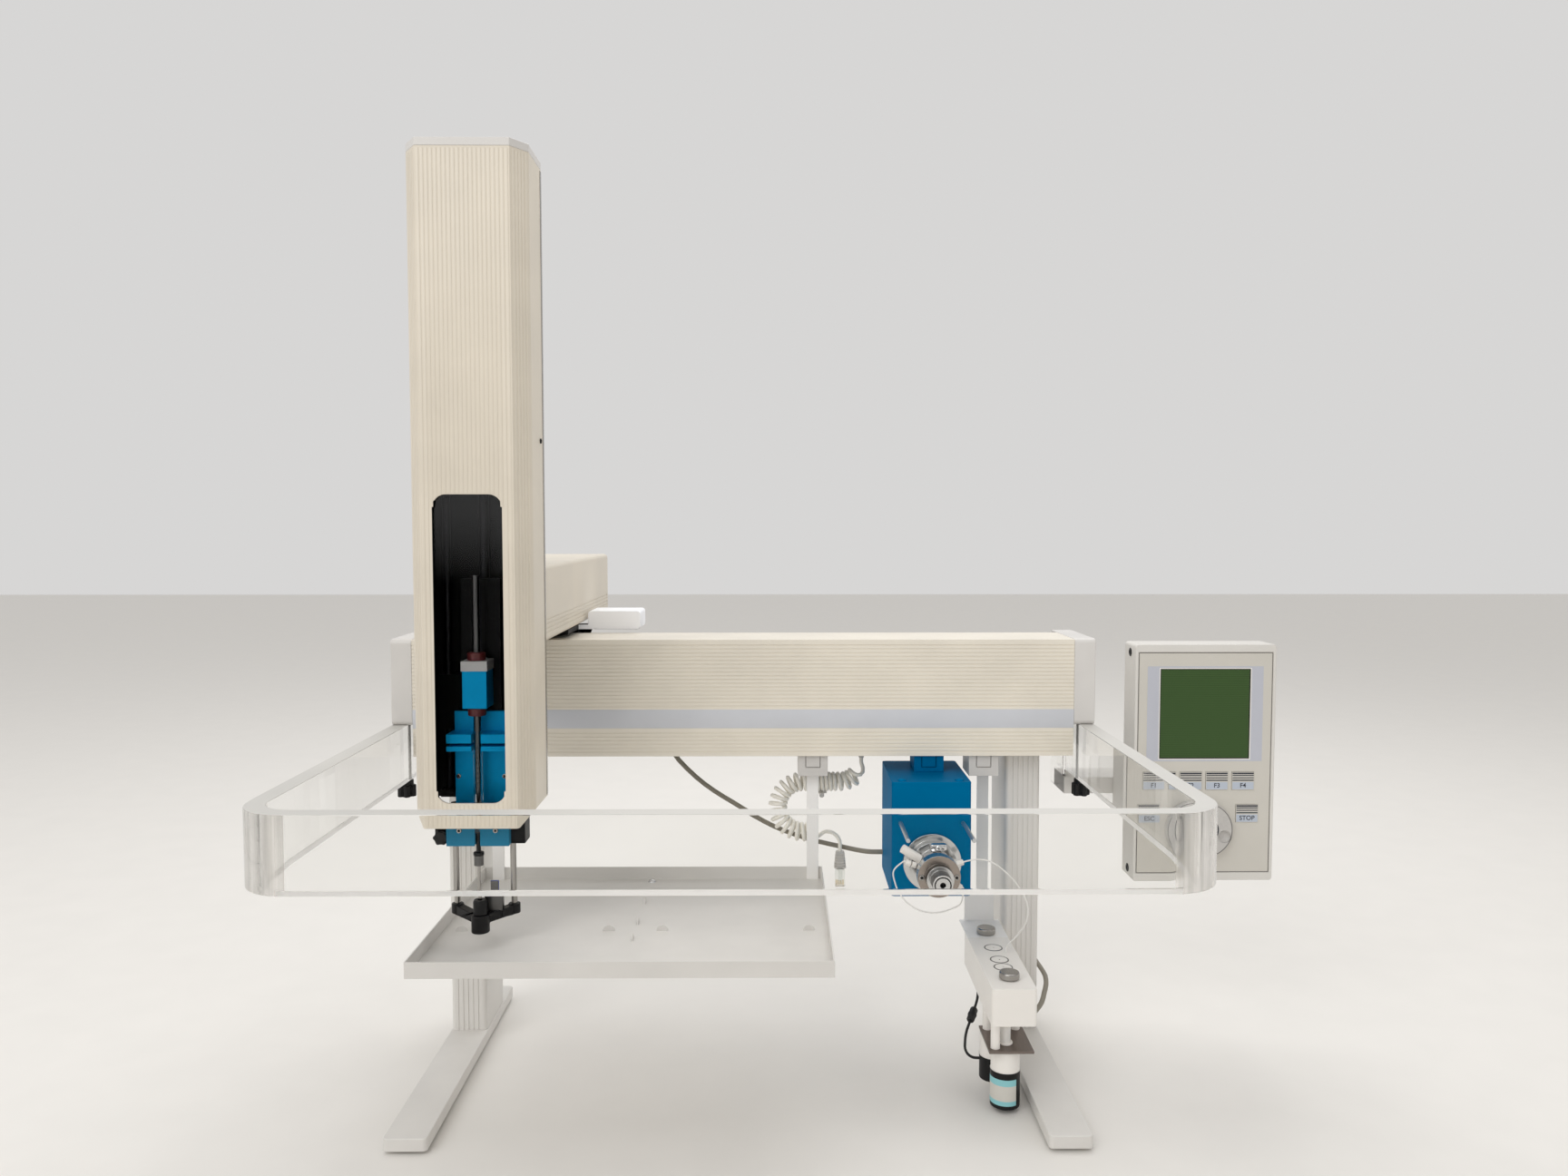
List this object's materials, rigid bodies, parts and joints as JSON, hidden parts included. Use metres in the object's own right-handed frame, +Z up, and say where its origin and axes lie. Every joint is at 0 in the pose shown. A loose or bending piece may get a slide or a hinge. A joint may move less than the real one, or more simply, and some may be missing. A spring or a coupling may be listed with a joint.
{
  "type": "autosampler",
  "caption": "Bench-top liquid autosampler: a gantry arm carries a syringe tower over a tray, injection valve and wash station behind a clear guard, with a hand keypad.",
  "frame": {"origin": "on the bench, under the middle of the object's box", "axes": "+X to the right along the beam, +Y from the front guard to the back, +Z up"},
  "size_m": [1.0426, 0.707, 0.996],
  "materials": {
    "beige_paint": "satin powder coat",
    "grey_paint": "satin powder coat",
    "cap_plastic": "moulded",
    "rail_aluminium": "clear anodised",
    "dark_aluminium": "black anodised",
    "blue_aluminium": "blue anodised",
    "steel": "ground",
    "plate_steel": "brushed",
    "pad_rubber": "moulded",
    "smoked_pane": "smoked",
    "clear_acrylic": "polished",
    "syringe_glass": "clear",
    "black_plastic": "moulded",
    "maroon_plastic": "moulded",
    "white_plastic": "machined",
    "clamp_plastic": "moulded",
    "drive_black": "satin",
    "keypad_plastic": "moulded",
    "panel_film": "printed film",
    "screen": "unlit display",
    "key_film": "printed film",
    "jog_plastic": "moulded",
    "cable_grey": "sheathed",
    "cord_ivory": "sheathed",
    "lead_black": "sheathed",
    "plug_plastic": "moulded",
    "clear_tube": "extruded"
  },
  "bodies": {
    "stand": {"feet": "grey_paint", "columns": "grey_paint", "foot_pads": "pad_rubber", "beam_rail": "rail_aluminium", "beam_cover": "beige_paint", "end_caps": "cap_plastic", "x_guide_rods": "steel", "x_drive": "drive_black", "guard": "clear_acrylic", "tray": "grey_paint", "tray_hangers": "grey_paint", "rail_clamps": "clamp_plastic", "valve_drive": "blue_aluminium", "valve_stator": "steel", "valve_fittings": "white_plastic", "sample_loop": "clear_tube", "wash_bracket": "grey_paint", "wash_block": "white_plastic", "wash_nuts": "steel", "pump_plate": "plate_steel", "wash_pumps": "black_plastic", "pump_lead": "lead_black", "keypad_bracket": "grey_paint", "keypad_shell": "keypad_plastic", "keypad_panel": "panel_film", "keypad_screen": "screen", "valve_cable": "cable_grey", "wash_cable": "cable_grey", "wash_tube": "clear_tube", "curly_cord": "cord_ivory", "cord_plugs": "plug_plastic"},
    "x_carriage": {"x_carriage": "dark_aluminium"},
    "y_arm": {"y_arm_cover": "beige_paint", "tower_cover": "beige_paint", "tower_cap": "cap_plastic", "tower_window": "smoked_pane", "tower_frame": "dark_aluminium", "z_motor": "drive_black", "z_guide_rods": "steel"},
    "z_screw": {"z_screw": "steel"},
    "z_head": {"head_block": "dark_aluminium", "syringe_holder": "blue_aluminium", "syringe_barrel": "syringe_glass", "needle": "steel"},
    "plunger": {"plunger_block": "blue_aluminium", "plunger_knob": "maroon_plastic", "plunger_rod": "steel"},
    "needle_guide": {"guide_foot": "black_plastic", "guide_rods": "steel"},
    "guard_knob_left": {"guard_knob_left": "black_plastic"},
    "guard_knob_right": {"guard_knob_right": "black_plastic"},
    "valve_rotor": {"valve_rotor": "steel"},
    "jog_wheel": {"jog_wheel": "jog_plastic"},
    "enter_button": {"enter_button": "jog_plastic"},
    "key_f1": {"key_f1": "key_film"},
    "key_f2": {"key_f2": "key_film"},
    "key_f3": {"key_f3": "key_film"},
    "key_f4": {"key_f4": "key_film"},
    "key_esc": {"key_esc": "key_film"},
    "key_stop": {"key_stop": "key_film"}
  },
  "joints": [
    {"name": "x_slide", "type": "slide", "parent": "stand", "child": "x_carriage", "axis": [1, 0, 0], "range_m": [-0.07, 0.58]},
    {"name": "y_slide", "type": "slide", "parent": "x_carriage", "child": "y_arm", "axis": [0, 1, 0], "range_m": [-0.15, 0.1]},
    {"name": "z_slide", "type": "slide", "parent": "y_arm", "child": "z_head", "axis": [0, 0, 1], "range_m": [-0.01, 0.16]},
    {"name": "z_screw_turn", "type": "hinge", "parent": "y_arm", "child": "z_screw", "pos_m": [-0.36575, -0.1095, 0.36], "axis": [0, 0, 1], "range_deg": [-100, 1450]},
    {"name": "plunger_slide", "type": "slide", "parent": "z_head", "child": "plunger", "axis": [0, 0, 1], "range_m": [0, 0.06]},
    {"name": "needle_guide_slide", "type": "slide", "parent": "z_head", "child": "needle_guide", "axis": [0, 0, 1], "range_m": [0, 0.035]},
    {"name": "guard_knob_left_turn", "type": "hinge", "parent": "stand", "child": "guard_knob_left", "pos_m": [-0.51025, 0.0825, 0.32], "axis": [0, 0, 1], "range_deg": [-1080, 0]},
    {"name": "guard_knob_right_turn", "type": "hinge", "parent": "stand", "child": "guard_knob_right", "pos_m": [0.29675, 0.0825, 0.32], "axis": [0, 0, 1], "range_deg": [-1080, 0]},
    {"name": "valve_turn", "type": "hinge", "parent": "stand", "child": "valve_rotor", "pos_m": [0.10825, 0.0025, 0.248], "axis": [0, 1, 0], "range_deg": [0, 60]},
    {"name": "jog_turn", "type": "hinge", "parent": "stand", "child": "jog_wheel", "pos_m": [0.43775, 0.0625, 0.2705], "axis": [0, 1, 0], "continuous": true},
    {"name": "enter_press", "type": "slide", "parent": "stand", "child": "enter_button", "axis": [0, 1, 0], "range_m": [0, 0.0012], "stiffness_N_per_m": 400},
    {"name": "key_f1_press", "type": "slide", "parent": "stand", "child": "key_f1", "axis": [0, 1, 0], "range_m": [0, 0.0008], "stiffness_N_per_m": 400},
    {"name": "key_f2_press", "type": "slide", "parent": "stand", "child": "key_f2", "axis": [0, 1, 0], "range_m": [0, 0.0008], "stiffness_N_per_m": 400},
    {"name": "key_f3_press", "type": "slide", "parent": "stand", "child": "key_f3", "axis": [0, 1, 0], "range_m": [0, 0.0008], "stiffness_N_per_m": 400},
    {"name": "key_f4_press", "type": "slide", "parent": "stand", "child": "key_f4", "axis": [0, 1, 0], "range_m": [0, 0.0008], "stiffness_N_per_m": 400},
    {"name": "key_esc_press", "type": "slide", "parent": "stand", "child": "key_esc", "axis": [0, 1, 0], "range_m": [0, 0.0008], "stiffness_N_per_m": 400},
    {"name": "key_stop_press", "type": "slide", "parent": "stand", "child": "key_stop", "axis": [0, 1, 0], "range_m": [0, 0.0008], "stiffness_N_per_m": 400}
  ],
  "couplings": [
    {"joint": "z_screw_turn", "follows": "z_slide", "rad_per_m": 157.08}
  ]
}
